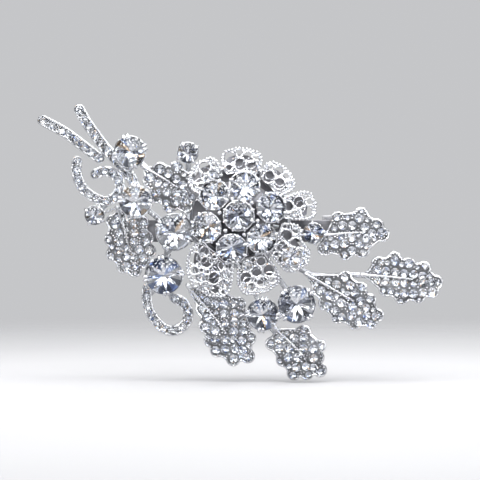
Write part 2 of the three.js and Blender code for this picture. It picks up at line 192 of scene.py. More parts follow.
# ---- studio, in metres and degrees ----
CAMERA_PLACE = (0.00371, -0.61, -0.00239)
CAMERA_LENS = 169.8
CAMERA_SENSOR = 36
LIGHT_DISTANCE = 0.64
LIGHT_TARGET = Vector((0, -0.01, 0))
KEY_ROWS = ((17, 0.12), (33, 0.3), (49, 0.3), (65, 0.3))
KEY_SPACING = 19
BACKDROP = (0.56, 0.565, 0.58, 1)
REFLECTED_BELOW = (0.5, 0.5, 0.5)
REFLECTED_ABOVE = (0.2, 0.205, 0.22)
FLOOR_IN_REFLECTIONS = (0.36, 0.36, 0.37, 1)
FLOOR_RADIUS = 0.8
FLOOR_FADE = (0.1, 0.5)
FLOOR_GAP = 0.0006


# ---- materials ----
def new_material(name):
    material = bpy.data.materials.new(name)
    material.use_nodes = True
    nodes = material.node_tree.nodes
    return material, nodes, material.node_tree.links, nodes["Principled BSDF"]


def add_node(nodes, kind, **values):
    node = nodes.new(f"ShaderNode{kind}")
    for socket, value in values.items():
        node.inputs[socket.replace("_", " ")].default_value = value
    return node


def join(links, source, output, target, socket):
    links.new(source.outputs[output], target.inputs[socket])


def add_noise(nodes, links, scale, detail, stretch=(1, 1, 1)):
    coordinates = add_node(nodes, "TexCoord")
    mapping = add_node(nodes, "Mapping", Scale=stretch)
    noise = add_node(nodes, "TexNoise", Scale=scale, Detail=detail)
    join(links, coordinates, "Object", mapping, "Vector")
    join(links, mapping, "Vector", noise, "Vector")
    return noise


def add_ramp(nodes, start, start_colour, end, end_colour):
    ramp = add_node(nodes, "ValToRGB")
    first, last = ramp.color_ramp.elements
    first.position, last.position = start, end
    first.color, last.color = (*start_colour, 1), (*end_colour, 1)
    return ramp


def vary_colour(nodes, links, shader, noise, dark, light):
    ramp = add_ramp(nodes, 0.3, dark, 0.7, light)
    join(links, noise, "Fac", ramp, "Fac")
    join(links, ramp, "Color", shader, "Base Color")


def vary_roughness(nodes, links, shader, noise, low, high):
    spread = add_node(nodes, "MapRange", To_Min=low, To_Max=high)
    join(links, noise, "Fac", spread, "Value")
    join(links, spread, "Result", shader, "Roughness")


def add_bump(nodes, links, shader, noise, strength, distance):
    bump = add_node(nodes, "Bump", Strength=strength, Distance=distance)
    join(links, noise, "Fac", bump, "Height")
    join(links, bump, "Normal", shader, "Normal")


def metal(name, dark, light, rough, grain, stretch=(1, 1, 1), bump=0.15):
    """A plated metal: colour and gloss drift over millimetres, and fine grain lies over them."""
    material, nodes, links, shader = new_material(name)
    shader.inputs["Metallic"].default_value = 1.0
    drift = add_noise(nodes, links, METAL_DRIFT, 3)
    fine = add_noise(nodes, links, grain, 4, stretch)
    vary_colour(nodes, links, shader, drift, dark, light)
    vary_roughness(nodes, links, shader, fine, *rough)
    add_bump(nodes, links, shader, fine, bump, GRAIN_DEPTH)
    return material


def glass(name, tint):
    material, nodes, links, shader = new_material(name)
    shader.inputs["Transmission Weight"].default_value = 1.0
    shader.inputs["IOR"].default_value = CRYSTAL_IOR
    drift = add_noise(nodes, links, GLASS_DRIFT, 2)
    vary_colour(nodes, links, shader, drift, tint, (1, 1, 1))
    vary_roughness(nodes, links, shader, drift, 0.0, 0.03)
    return material


def foil(name, dark, light):
    """The mirror lacquered onto the back facets of a stone; the darker and coloured ones made here are
    painted reflections and glints.
    """
    material, nodes, links, shader = new_material(name)
    shader.inputs["Metallic"].default_value = 1.0
    drift = add_noise(nodes, links, FOIL_DRIFT, 2)
    vary_colour(nodes, links, shader, drift, dark, light)
    vary_roughness(nodes, links, shader, drift, 0.03, 0.12)
    return material


SILVER = metal("rhodium_silver", (0.74, 0.75, 0.78), (0.93, 0.94, 0.96), (0.08, 0.26), 900)
CAST = metal("cast_silver", (0.5, 0.51, 0.54), (0.8, 0.81, 0.84), (0.18, 0.42), 1500, bump=0.35)
STEEL = metal("brushed_steel", (0.5, 0.5, 0.52), (0.68, 0.68, 0.7), (0.22, 0.45), 700, (0.06, 1, 1))
SPRING = metal("spring_steel", (0.42, 0.43, 0.45), (0.58, 0.59, 0.61), (0.2, 0.4), 800, (0.05, 1, 1))
# painted shade: a dark silver laid behind the lace, over the hub's front, on the barrette base's front and
# on the cluster basket, where the clip lies in shade
PAINTED_SHADE_METAL = metal("painted_shade_silver", (0.12, 0.12, 0.13), (0.34, 0.34, 0.36), (0.25, 0.5), 1300, bump=0.4)
# painted shade: the tray floors between the small stones and the balls in their drilled holes are a darker
# silver, for the shade in these recesses
PAINTED_SHADE_BED = metal("pave_bed_painted_shade", (0.2, 0.205, 0.215), (0.5, 0.51, 0.53), (0.2, 0.45), 1300, bump=0.4)
CRYSTAL = glass("crystal", (0.93, 0.96, 1.0))
# the clear foil is the stone's real mirror; the smoky, blue and amber ones are painted: a painted dark
# reflection, and painted blue and amber glints that stand in for the stone's fire
FOILS_AND_PAINTED_REFLECTIONS = [
    foil("foil_clear", (0.9, 0.92, 0.96), (1.0, 1.0, 1.0)),
    foil("foil_painted_dark_reflection", (0.2, 0.21, 0.25), (0.42, 0.44, 0.5)),
    foil("foil_painted_blue_glint", (0.34, 0.42, 0.66), (0.6, 0.7, 0.92)),
    foil("foil_painted_amber_glint", (0.7, 0.5, 0.34), (0.95, 0.82, 0.66)),
]
STONE_LOOKS = [CRYSTAL, *FOILS_AND_PAINTED_REFLECTIONS]
# how often a back facet takes the clear mirror foil, the painted dark reflection, the painted blue glint
# and the painted amber glint
FOIL_AND_PAINTED_REFLECTION_SHARES = [0.66, 0.22, 0.08, 0.04]
PAVE_MIRROR_AND_PAINTED_REFLECTION_SHARES = [0.9, 0.05, 0.03, 0.02]


# ---- gathering faces into pieces ----
class Parts:
    """Closed bodies in millimetres, gathered until they become one object."""

    def __init__(self):
        self.points = []
        self.faces = []
        self.slots = []
        self.smooth = []
        self.count = 0

    def add(self, points, faces, slots=0, smooth=True, place=None):
        points = np.asarray(points, float)
        if place is not None:
            matrix = np.array(place)
            points = points @ matrix[:3, :3].T + matrix[:3, 3]
        self.faces.extend([self.count + i for i in face] for face in faces)
        self.slots.extend(slots if isinstance(slots, list) else [slots] * len(faces))
        self.smooth.extend([smooth] * len(faces))
        self.points.append(points)
        self.count += len(points)


def make_piece(name, parts, materials, replaced=(), body="ornament"):
    mesh = bpy.data.meshes.new(name)
    mesh.from_pydata(np.concatenate(parts.points) * MM, [], parts.faces)
    for material in materials:
        mesh.materials.append(material)
    mesh.polygons.foreach_set("material_index", parts.slots)
    mesh.polygons.foreach_set("use_smooth", parts.smooth)
    turn_outward(mesh)
    mesh.set_sharp_from_angle(angle=math.radians(45))
    piece = bpy.data.objects.new(name, mesh)
    bpy.context.scene.collection.objects.link(piece)
    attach(piece, body)
    if replaced:
        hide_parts(*replaced)


def turn_outward(mesh):
    work = bmesh.new()
    work.from_mesh(mesh)
    bmesh.ops.recalc_face_normals(work, faces=work.faces)
    work.to_mesh(mesh)
    work.free()
    mesh.update()


def facing(centre, normal, spin=0.0):
    """A frame at centre whose -Y points along normal, turned by spin about it."""
    back = -Vector(normal).normalized()
    side = back.cross(UP) if abs(back.z) < 0.9 else back.cross(Vector((1, 0, 0)))
    side.normalize()
    axes = Matrix((side, back, side.cross(back))).transposed().to_4x4()
    return Matrix.Translation(centre) @ axes @ Matrix.Rotation(spin, 4, "Y")


def round_axis(place, radius, y, angle):
    """The point of a frame that is radius out from its Y axis, at an angle about it."""
    return place @ Vector((radius * math.cos(angle), y, radius * math.sin(angle)))


# ---- building blocks ----
def turns(count):
    """Angles an even step apart, once round."""
    return [2 * math.pi * i / count for i in range(count)]


def turned_faces(rings, sides):
    """Faces of a turned body whose points are one end, the rings and the other end."""
    last = 1 + rings * sides
    faces = []
    for side in range(sides):
        after = (side + 1) % sides
        faces.append((0, 1 + side, 1 + after))
        for ring in range(rings - 1):
            a = 1 + ring * sides
            faces.append((a + side, a + sides + side, a + sides + after, a + after))
        faces.append((last, last - sides + after, last - sides + side))
    return faces


def ball_template():
    sides, rings = 8, 4
    points = [(0, 0, 1)]
    for ring in range(1, rings + 1):
        polar = math.pi * ring / (rings + 1)
        for angle in turns(sides):
            points.append(
                (math.sin(polar) * math.cos(angle), math.sin(polar) * math.sin(angle), math.cos(polar))
            )
    points.append((0, 0, -1))
    return np.array(points), turned_faces(rings, sides)


BALL_POINTS, BALL_FACES = ball_template()


def add_ball(parts, centre, radius, slot=0):
    parts.add(BALL_POINTS * radius + np.array(centre), BALL_FACES, slot)


def add_post(parts, place, radius):
    """A round-headed prong that stands on the tray between stones."""
    profile = [
        (0, STONE_LIFT),
        (0.8 * radius, STONE_LIFT),
        (0.75 * radius, 0.2),
        (radius, 0.0),
        (0.72 * radius, -0.7 * radius),
        (0, -radius),
    ]
    add_turned(parts, profile, place, sides=8)


def add_tube(parts, path, radii, closed=False, sides=8, slot=0):
    """A round wire along path. Open ends are domed."""
    path = [Vector(p) for p in path]
    radii = list(radii) if hasattr(radii, "__len__") else [radii] * len(path)
    if not closed:
        path, radii = domed_ends(path, radii)
    count = len(path)
    points = []
    across = None
    for i, (point, radius) in enumerate(zip(path, radii)):
        ahead = path[(i + 1) % count] if closed else path[min(i + 1, count - 1)]
        behind = path[i - 1] if closed else path[max(i - 1, 0)]
        along = (ahead - behind).normalized()
        if across is None:
            across = BACKWARD if abs(along.y) < 0.9 else UP
        across = (across - along * across.dot(along)).normalized()
        other = along.cross(across)
        for angle in turns(sides):
            points.append(point + (across * math.cos(angle) + other * math.sin(angle)) * radius)
    faces = []
    for i in range(count if closed else count - 1):
        a, b = i * sides, ((i + 1) % count) * sides
        for side in range(sides):
            after = (side + 1) % sides
            faces.append((a + side, a + after, b + after, b + side))
    if not closed:
        faces.append(list(range(sides))[::-1])
        faces.append(list(range((count - 1) * sides, count * sides)))
    parts.add([tuple(p) for p in points], faces, slot)


def domed_ends(path, radii):
    """The path and radii of a wire with two narrowing rings past each end."""
    start = (path[0] - path[1]).normalized()
    end = (path[-1] - path[-2]).normalized()
    dome = ((0.7, 0.72), (0.95, 0.3))
    head = [(path[0] + start * radii[0] * out, radii[0] * width) for out, width in reversed(dome)]
    tail = [(path[-1] + end * radii[-1] * out, radii[-1] * width) for out, width in dome]
    points = [p for p, _ in head] + path + [p for p, _ in tail]
    widths = [r for _, r in head] + radii + [r for _, r in tail]
    return points, widths


def add_turned(parts, profile, place, sides=40, slot=0):
    """A closed piece turned about the local Y axis. The profile's ends lie on the axis."""
    points = [(0, profile[0][1], 0)]
    for radius, y in profile[1:-1]:
        for angle in turns(sides):
            points.append((radius * math.cos(angle), y, radius * math.sin(angle)))
    points.append((0, profile[-1][1], 0))
    parts.add(points, turned_faces(len(profile) - 2, sides), slot, True, place)


def brilliant_template(table_radius, crown):
    """A round brilliant of radius 1: girdle at y = 0, table towards -Y.

    Returns the points, the front and the back faces, and the first point of the back.
    """

    def at(radius, y, step):
        angle = math.pi * step / 8
        return (radius * math.cos(angle), y, radius * math.sin(angle))

    star_radius = (1 + table_radius) / 2 + 0.01
    star_share = (star_radius * math.cos(math.pi / 8) - table_radius) / (1 - table_radius)
    star_y = -crown + star_share * (crown - GIRDLE)
    keel_y = PAVILION - KEEL * math.cos(math.pi / 8) * (PAVILION - GIRDLE)
    table = [at(table_radius, -crown, 2 * k) for k in range(8)]
    stars = [at(star_radius, star_y, 2 * k + 1) for k in range(8)]
    top = [at(1, -GIRDLE, k) for k in range(16)]
    bottom = [at(1, GIRDLE, k) for k in range(16)]
    keels = [at(KEEL, keel_y, 2 * k + 1) for k in range(8)]
    points = [*table, *stars, *top, *bottom, *keels, (0, PAVILION, 0)]
    t, s, g, b, k, culet = 0, 8, 16, 32, 48, 56
    front = [tuple(range(8))]
    back = []
    for i in range(8):
        after = (i + 1) % 8
        before = (i - 1) % 8
        here, half, there = 2 * i, 2 * i + 1, (2 * i + 2) % 16
        front.append((t + i, s + i, t + after))
        front.append((t + i, s + before, g + here, s + i))
        front.append((s + i, g + here, g + half))
        front.append((s + i, g + half, g + there))
        front.append((g + here, b + here, b + half, g + half))
        front.append((g + half, b + half, b + there, g + there))
        back.append((b + here, k + before, culet, k + i))
        back.append((b + here, k + i, b + half))
        back.append((b + half, k + i, b + there))
    return np.array(points), front, back, b


BRILLIANT = brilliant_template(TABLE, CROWN)
PAVE_CUT = brilliant_template(PAVE_TABLE, PAVE_CROWN)


def add_stone(parts, cut, place, radius, chance, shares=FOIL_AND_PAINTED_REFLECTION_SHARES):
    """One stone, clear in front. Each foiled facet behind leans a little; most take the clear mirror foil,
    and the rest take painted dark reflections and painted blue and amber glints.
    """
    points, front, back, first_back = cut
    points = points.copy()
    for corner in range(first_back, len(points) - 1):
        points[corner, 1] += chance.uniform(-FACET_LEAN, FACET_LEAN)
    facet_foils_and_painted_reflections = chance.choices(range(1, len(STONE_LOOKS)), shares, k=len(back))
    slots = [0] * len(front) + facet_foils_and_painted_reflections
    parts.add(points * radius, [*front, *back], slots, False, place)


def add_seat(parts, place, radius, depth):
    """The drilled metal cup that holds a small stone, from its girdle down to the tray."""
    profile = [
        (0, depth),
        (0.84 * radius, depth),
        (radius + 0.02, GIRDLE * radius + 0.12),
        (0, PAVILION * radius + 0.08),
    ]
    add_turned(parts, profile, place, sides=12)


# ---- outlines ----
def pairs(loop):
    """Each point of a closed loop with the next one."""
    return zip(loop, loop[1:] + loop[:1])


def front_loop(name):
    """The outline of the node's front face in millimetres, counterclockwise seen from the front."""
    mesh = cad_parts[name].data
    edges = set()
    for polygon in mesh.polygons:
        if polygon.normal.y < -0.9:
            places = [mesh.vertices[i].co for i in polygon.vertices]
            corners = [tuple(round(c / MM, 4) for c in place) for place in places]
            edges.update(pairs(corners))
    following = {a: b for a, b in edges if (b, a) not in edges}
    loop = [min(following)]
    while following[loop[-1]] != loop[0]:
        loop.append(following[loop[-1]])
    area = sum(a[0] * b[2] - b[0] * a[2] for a, b in pairs(loop))
    if area < 0:
        loop = [loop[0], *loop[:0:-1]]
    return [Vector(p) for p in loop]


def rounded(loop, times=2):
    """Cuts the corners of a closed loop."""
    for _ in range(times):
        cut = []
        for a, b in pairs(loop):
            cut.append(a.lerp(b, 0.25))
            cut.append(a.lerp(b, 0.75))
        loop = cut
    return loop


def resampled(path, spacing, closed):
    """Points an even distance apart along a path."""
    ends = path + path[:1] if closed else path
    lengths = [(b - a).length for a, b in zip(ends, ends[1:])]
    total = sum(lengths)
    count = max(2, round(total / spacing))
    targets = [total * i / count for i in range(count if closed else count + 1)]
    points = []
    travelled, segment = 0.0, 0
    for target in targets:
        while segment < len(lengths) - 1 and travelled + lengths[segment] < target:
            travelled += lengths[segment]
            segment += 1
        share = (target - travelled) / max(lengths[segment], 1e-9)
        points.append(ends[segment].lerp(ends[segment + 1], min(share, 1.0)))
    return points


def inset(loop, distance):
    """A flat counterclockwise loop moved inward."""
    moved = []
    for i, point in enumerate(loop):
        along = loop[(i + 1) % len(loop)] - loop[i - 1]
        along.normalize()
        moved.append(point + Vector((-along.y, along.x)) * distance)
    return moved


class Region:
    """A flat outline, with tests for where a small round thing fits."""

    def __init__(self, loop, step=0.16):
        self.loop = np.array([tuple(p) for p in loop])
        low, high = self.loop.min(0), self.loop.max(0)
        xs = np.arange(low[0], high[0], step)
        ys = np.arange(low[1], high[1], step)
        grid = np.array([(x, y) for x in xs for y in ys])
        self.spots = grid[self.contains(grid)]
        self.room = self.edge_distance(self.spots)
        self.stones = []

    def contains(self, points):
        inside = np.zeros(len(points), bool)
        ends = np.roll(self.loop, -1, 0)
        for (ax, ay), (bx, by) in zip(self.loop, ends):
            if ay == by:
                continue
            crosses = (points[:, 1] < ay) != (points[:, 1] < by)
            at = ax + (points[:, 1] - ay) * (bx - ax) / (by - ay)
            inside ^= crosses & (points[:, 0] < at)
        return inside

    def edge_distance(self, points):
        starts, ends = self.loop, np.roll(self.loop, -1, 0)
        return segment_distance(points, starts, ends)

    def keep_off(self, points, clear):
        """No stone centre plus its radius comes nearer to this line than clear."""
        line = np.array([tuple(p) for p in points])
        self.room = np.minimum(self.room, segment_distance(self.spots, line[:-1], line[1:]) - clear)

    def shut_out(self, other, clear=0.0):
        """Nothing is placed over another region."""
        over = other.contains(self.spots)
        near = other.edge_distance(self.spots)
        self.room = np.where(over, -1.0, np.minimum(self.room, near - clear))

    def fill(self, radius, gap, snug, limit=200):
        """Places circles one by one: snug ones hug the edge and each other, others take the widest gap."""
        placed = []
        while len(placed) < limit:
            free = self.room >= radius + gap
            if not free.any():
                break
            spots = self.spots[free]
            if snug:
                score = self.room[free].copy()
                if self.stones:
                    centres = np.array([c for c, _ in self.stones])
                    nearest = np.sqrt(((spots[:, None] - centres[None]) ** 2).sum(2)).min(1)
                    score = 0.7 * score + nearest
                best = spots[score.argmin()]
            else:
                best = spots[self.room[free].argmax()]
            placed.append((tuple(best), radius))
            self.stones.append((tuple(best), radius))
            away = np.sqrt(((self.spots - best) ** 2).sum(1)) - radius
            self.room = np.minimum(self.room, away)
        return placed


def segment_distance(points, starts, ends):
    nearest = np.full(len(points), 1e9)
    for a, b in zip(starts, ends):
        d = b - a
        share = np.clip(((points - a) @ d) / max(d @ d, 1e-12), 0, 1)
        away = np.sqrt(((points - a - share[:, None] * d) ** 2).sum(1))
        nearest = np.minimum(nearest, away)
    return nearest


def flat(loop):
    return [Vector((p.x, p.z)) for p in loop]


# ---- leaves ----
class LeafSurface:
    """The pillowed face of a leaf: each half swells between the midrib and the edge."""

    def __init__(self, base, tip, loop):
        self.base = Vector(base)
        self.along = Vector(tip) - self.base
        self.length = self.along.length
        self.along.normalize()
        self.across = Vector((-self.along.y, self.along.x))
        sides = [(p - self.base).dot(self.across) for p in loop]
        self.half = {True: max(sides), False: -min(sides)}

    def height(self, point):
        """The y of the face at a flat point: smaller is nearer to the viewer."""
        offset = Vector(point) - self.base
        lengthwise = min(max(offset.dot(self.along) / self.length, 0), 1)
        sideways = offset.dot(self.across)
        share = min(abs(sideways) / self.half[sideways > 0], 1)
        swell = math.sin(math.pi * share) * math.sin(math.pi * (0.12 + 0.76 * lengthwise))
        return TRAY_FLOOR - LEAF_BULGE * swell

    def place(self, point, lift, spin=0.0, tilt=Vector((0, 0))):
        """A frame on the face, lift millimetres out of it."""
        step = 0.2
        x, z = point
        slope_x = (self.height((x + step, z)) - self.height((x - step, z))) / (2 * step)
        slope_z = (self.height((x, z + step)) - self.height((x, z - step))) / (2 * step)
        normal = Vector((slope_x + tilt.x, -1, slope_z + tilt.y)).normalized()
        centre = Vector((x, self.height(point), z)) + normal * lift
        return facing(centre, normal, spin)


def add_plate(parts, loop, surface):
    """A closed plate: a shaped front face in the second material, which in leaves and bands is the
    painted-shade bed silver, and a flat back in the third.
    """
    region = Region(inset(loop, 0.35), 0.9)
    inner = [Vector(p) for p in region.spots]
    outline = list(range(len(loop)))
    edges = list(pairs(outline))
    points, _, faces, *_ = delaunay_2d_cdt([*loop, *inner], edges, [outline], 1, 1e-5)
    count = len(points)
    front_points = [(p.x, surface(p), p.y) for p in points]
    back_points = [(p.x, CAST_BACK, p.y) for p in points]
    sides = {}
    for face in faces:
        for a, b in pairs(face):
            sides[(a, b)] = True
    walls = [(a, b, b + count, a + count) for a, b in sides if (b, a) not in sides]
    behind = [[i + count for i in reversed(face)] for face in faces]
    slots = [1] * len(faces) + [2] * len(behind) + [0] * len(walls)
    parts.add([*front_points, *back_points], [*faces, *behind, *walls], slots)


def add_tray(parts, outline, height, rise):
    """A floor with a standing wall round it and a rounded rim along the wall's top."""
    add_plate(parts, outline, height)
    inner = inset(outline, RIM_RADIUS * 1.3)
    count = len(outline)
    rings = [
        [(p.x, CAST_BACK, p.y) for p in outline],
        [(p.x, height(p) - rise, p.y) for p in outline],
        [(p.x, height(p) - rise, p.y) for p in inner],
        [(p.x, CAST_BACK + 0.1, p.y) for p in inner],
    ]
    faces = []
    for ring in range(4):
        a, b = ring * count, (ring + 1) % 4 * count
        for i in range(count):
            after = (i + 1) % count
            faces.append((a + i, a + after, b + after, b + i))
    parts.add([p for ring in rings for p in ring], faces)
    edge = inset(outline, RIM_RADIUS * 0.8)
    add_tube(parts, [(p.x, height(p) - rise, p.y) for p in edge], RIM_RADIUS, closed=True)
    add_tube(parts, [(p.x, CAST_BACK, p.y) for p in edge], BACK_WIRE, closed=True, sides=6, slot=2)


def add_back_ring(parts, point, radius):
    """The raised lip of the hole that is drilled behind a stone, seen from the back."""
    path = []
    for angle in turns(10):
        x, z = point[0] + radius * math.cos(angle), point[1] + radius * math.sin(angle)
        path.append((x, CAST_BACK, z))
    add_tube(parts, path, BACK_WIRE * 0.7, closed=True, sides=5, slot=2)
    # the ball takes the second material, the painted-shade bed silver in leaves and bands
    add_ball(parts, (point[0], CAST_BACK - radius * 0.35, point[1]), radius * 0.5, slot=1)


def build_leaf(name, petals, chance):
    base, tip = MIDRIBS[name]
    outline = resampled(rounded(flat(front_loop(name))), 0.45, True)
    surface = LeafSurface(base, tip, outline)
    casting = Parts()
    add_tray(casting, outline, surface.height, RIM_RISE)
    midrib = leaf_midrib(surface)
    widths = [MIDRIB_RADIUS - MIDRIB_TAPER * i / len(midrib) for i in range(len(midrib))]
    add_tube(casting, midrib, widths)
    add_tube(casting, [p + BACKWARD * 0.55 for p in midrib], [w + 0.12 for w in widths])
    region = Region(inset(outline, RIM_RADIUS))
    region.keep_off(flat(midrib), 0.35)
    for petal in petals:
        region.shut_out(petal, 0.2)
    stones = Parts()
    set_stones = []
    for radius in PAVE_RADII:
        set_stones += region.fill(radius, 0.0, snug=radius == PAVE_RADII[0])
    for point, radius in set_stones:
        tilt = Vector((chance.uniform(-PAVE_TILT, PAVE_TILT), chance.uniform(-PAVE_TILT, PAVE_TILT)))
        place = surface.place(point, STONE_LIFT, chance.uniform(0, math.pi), tilt)
        add_stone(stones, PAVE_CUT, place, radius * PAVE_FIT, chance, PAVE_MIRROR_AND_PAINTED_REFLECTION_SHARES)
        add_seat(casting, place, radius * PAVE_FIT, SEAT_DEPTH)
        add_back_ring(casting, point, radius * 0.55)
    for point, radius in region.fill(GRAIN_RADIUS, -0.05, snug=False, limit=90):
        place = surface.place(point, STONE_LIFT + 0.1 * chance.random())
        add_post(casting, place, radius)
    make_piece(f"{name}_casting", casting, [SILVER, PAINTED_SHADE_BED, CAST], [name])
    if stones.count:
        make_piece(f"{name}_stones", stones, STONE_LOOKS)


def leaf_midrib(surface):
    count = 14
    points = []
    for i in range(count + 1):
        share = -0.04 + (MIDRIB_SHARE + 0.04) * i / count
        bend = 0.35 * math.sin(math.pi * share)
        flat_point = surface.base + surface.along * surface.length * share + surface.across * bend
        points.append(Vector((flat_point.x, surface.height(flat_point) - MIDRIB_LIFT, flat_point.y)))
    return points


# ---- bands set with a row of stones ----
def smooth_path(corners):
    """A Catmull-Rom line through the corners."""
    points = [Vector(c) for c in corners]
    points = [2 * points[0] - points[1], *points, 2 * points[-1] - points[-2]]
    line = []
    for a, b, c, d in zip(points, points[1:], points[2:], points[3:]):
        for step in range(8):
            t = step / 8
            square = 2 * a - 5 * b + 4 * c - d
            cube = 3 * b - a - 3 * c + d
            line.append(0.5 * ((2 * b) + (c - a) * t + square * t**2 + cube * t**3))
    return [*line, points[-2]]


def scroll_path(at, coil, open, start, end, over):
    """An arc of radius coil about a point, which opens wider over its first degrees."""
    steps = 72
    points = []
    for i in range(steps + 1):
        angle = start + (end - start) * i / steps
        left = max(0, 1 - (angle - start) / over)
        radius = coil + open * left * left
        turn = math.radians(angle)
        points.append(Vector((at[0] + radius * math.cos(turn), at[1] + radius * math.sin(turn))))
    return points


def build_band(name, path, half_width, chance):
    """A walled channel with one row of stones, and a pair of beads between each two."""
    metalwork = Parts()
    stones = Parts()
    outline = resampled(rounded(flat(front_loop(name)), 1), 0.5, True)
    add_tray(metalwork, outline, lambda point: TRAY_FLOOR, RIM_RISE + 0.1)
    radius = half_width - BAND_WALL
    places = resampled(path, 2 * radius + BAND_STONE_GAP, False)
    for i, point in enumerate(places):
        normal = Vector((chance.uniform(-0.1, 0.1), -1, chance.uniform(-0.1, 0.1)))
        centre = (point.x, TRAY_FLOOR - STONE_LIFT, point.y)
        place = facing(centre, normal, chance.uniform(0, 1))
        add_stone(stones, PAVE_CUT, place, radius, chance, PAVE_MIRROR_AND_PAINTED_REFLECTION_SHARES)
        add_seat(metalwork, place, radius, SEAT_DEPTH)
        add_back_ring(metalwork, point, radius * 0.5)
        if i:
            middle = point.lerp(places[i - 1], 0.5)
            across = (point - places[i - 1]).normalized()
            across = Vector((-across.y, across.x)) * (half_width - 0.25)
            for side in (-1, 1):
                at = middle + across * side
                add_ball(metalwork, (at.x, TRAY_FLOOR - STONE_LIFT - 0.15, at.y), BAND_BEAD)
    make_piece(f"{name}_channel", metalwork, [SILVER, PAINTED_SHADE_BED, CAST], [name])
    make_piece(f"{name}_stones", stones, STONE_LOOKS)


# ---- lace petals ----
class PetalPlane:
    """Flat coordinates on a tipped petal: first outward from the flower, then across."""

    def __init__(self, loop):
        self.centre = sum(loop, Vector()) / len(loop)
        normal = Vector()
        for a, b in pairs(loop):
            normal += (a - self.centre).cross(b - self.centre)
        normal.normalize()
        self.normal = normal if normal.y < 0 else -normal
        outward = self.centre - Vector((FLOWER[0], self.centre.y, FLOWER[1]))
        self.out = (outward - self.normal * outward.dot(self.normal)).normalized()
        self.across = self.out.cross(self.normal)
        self.loop = [self.to_flat(p) for p in loop]
        area = sum(a.cross(b) for a, b in pairs(self.loop))
        if area < 0:
            self.loop.reverse()
        self.half = max(abs(p.y) for p in self.loop)
        self.reach = max(p.x for p in self.loop)

    def to_flat(self, point):
        offset = point - self.centre
        return Vector((offset.dot(self.out), offset.dot(self.across)))

    def to_space(self, point, lift=0.0):
        """The petal is cupped: its sides and its outer end turn a little forward."""
        x, y = point
        cup = 0.9 * (y / self.half) ** 2 + 0.5 * max(x / self.reach, 0) ** 2
        height = self.normal * (lift + cup)
        return self.centre + self.out * x + self.across * y + height

    def place(self, point, lift, spin=0.0):
        x, y = point
        a = self.to_space((x + 0.3, y), lift) - self.to_space((x - 0.3, y), lift)
        b = self.to_space((x, y + 0.3), lift) - self.to_space((x, y - 0.3), lift)
        normal = a.cross(b).normalized()
        if normal.y > 0:
            normal = -normal
        return facing(self.to_space(point, lift), normal, spin)


def add_lace_ring(parts, plane, centre, radius, stretch, lift, wire, slot=0):
    """A small ring of wire that follows the cupped petal."""
    path = []
    for angle in turns(16 if radius > 1 else 12):
        spot = (centre[0] + radius * math.cos(angle) * stretch, centre[1] + radius * math.sin(angle))
        path.append(plane.to_space(spot, lift))
    add_tube(parts, path, wire, closed=True, sides=6, slot=slot)


def build_petal(name, chance):
    """The wire edge, beads, rings and small stones of one petal. Returns where it covers the leaves."""
    loop = front_loop(name)
    plane = PetalPlane(loop)
    outline = resampled(rounded(plane.loop, 1), 0.6, True)
    lace = Parts()
    stones = Parts()
    edge = inset(outline, 0.3)
    add_tube(lace, [plane.to_space(p, -0.2) for p in edge], PETAL_RIM, closed=True, sides=7)
    for point in resampled(outline, PETAL_BEAD_SPACING, True):
        if point.x > -0.4 * plane.reach:
            add_ball(lace, plane.to_space(point * 0.98, -0.05), PETAL_BEAD)
    region = Region(inset(outline, 0.35))
    for radius, limit in LACE_RADII:
        for centre, _ in region.fill(radius, -LACE_OVERLAP, snug=radius > 1, limit=limit):
            lift = chance.uniform(-0.2, 0.45)
            add_lace_ring(lace, plane, centre, radius - 0.08, chance.uniform(0.9, 1.1), lift, LACE_WIRE)
            if 1 < radius < 1.6 and chance.random() < LACE_STONE_CHANCE:
                place = plane.place(centre, lift + 0.15, chance.uniform(0, 1))
                add_stone(stones, PAVE_CUT, place, radius - LACE_STONE_INSET, chance, PAVE_MIRROR_AND_PAINTED_REFLECTION_SHARES)
                add_seat(lace, place, radius - LACE_STONE_INSET, PAVILION * radius + 0.3)
    for centre, radius in region.fill(0.3, -0.1, snug=False, limit=24):
        add_ball(lace, plane.to_space(centre, chance.uniform(-0.1, 0.2)), radius)
    make_piece(f"{name}_lace", lace, [SILVER], [name])
    if stones.count:
        make_piece(f"{name}_stones", stones, STONE_LOOKS)
    build_under_lace(name, plane, outline, chance)
    return Region(flat(loop), 0.5)


def build_under_lace(name, plane, outline, chance):
    """A second layer of rings behind the inner part of the petal, over its backing of painted shade."""
    layer = Parts()
    region = Region(inset(outline, 0.9))
    for radius, limit in UNDER_LACE_RADII:
        for centre, _ in region.fill(radius, -0.2, snug=False, limit=limit):
            if centre[0] < 0.7 * plane.reach:
                lift = chance.uniform(-1.3, -1.0)
                stretch = chance.uniform(0.85, 1.15)
                add_lace_ring(layer, plane, centre, radius - 0.1, stretch, lift, UNDER_LACE_WIRE, 1)
    add_painted_shade_backing(layer, plane, outline)
    make_piece(f"{name}_under_lace", layer, [PAINTED_SHADE_METAL, SILVER])


def add_painted_shade_backing(parts, plane, outline):
    """A thin dark cup behind the inner part of the lace, so that its holes read as depth: a sheet of
    painted shade.
    """
    inner_end = Vector((min(p.x for p in outline), 0))
    loop = resampled([inner_end + (p - inner_end) * BACKING_SHARE for p in outline], 1.2, True)
    count = len(loop)
    centre = sum(loop, Vector((0, 0))) / count
    points = []
    for lift in BACKING_LIFTS:
        points.append(plane.to_space(centre, lift))
        points += [plane.to_space(p, lift) for p in loop]
    faces = []
    for i in range(count):
        here, after = 1 + i, 1 + (i + 1) % count
        faces.append((0, here, after))
        faces.append((count + 1, count + 1 + after, count + 1 + here))
        faces.append((here, count + 1 + here, count + 1 + after, after))
    parts.add([tuple(p) for p in points], faces)


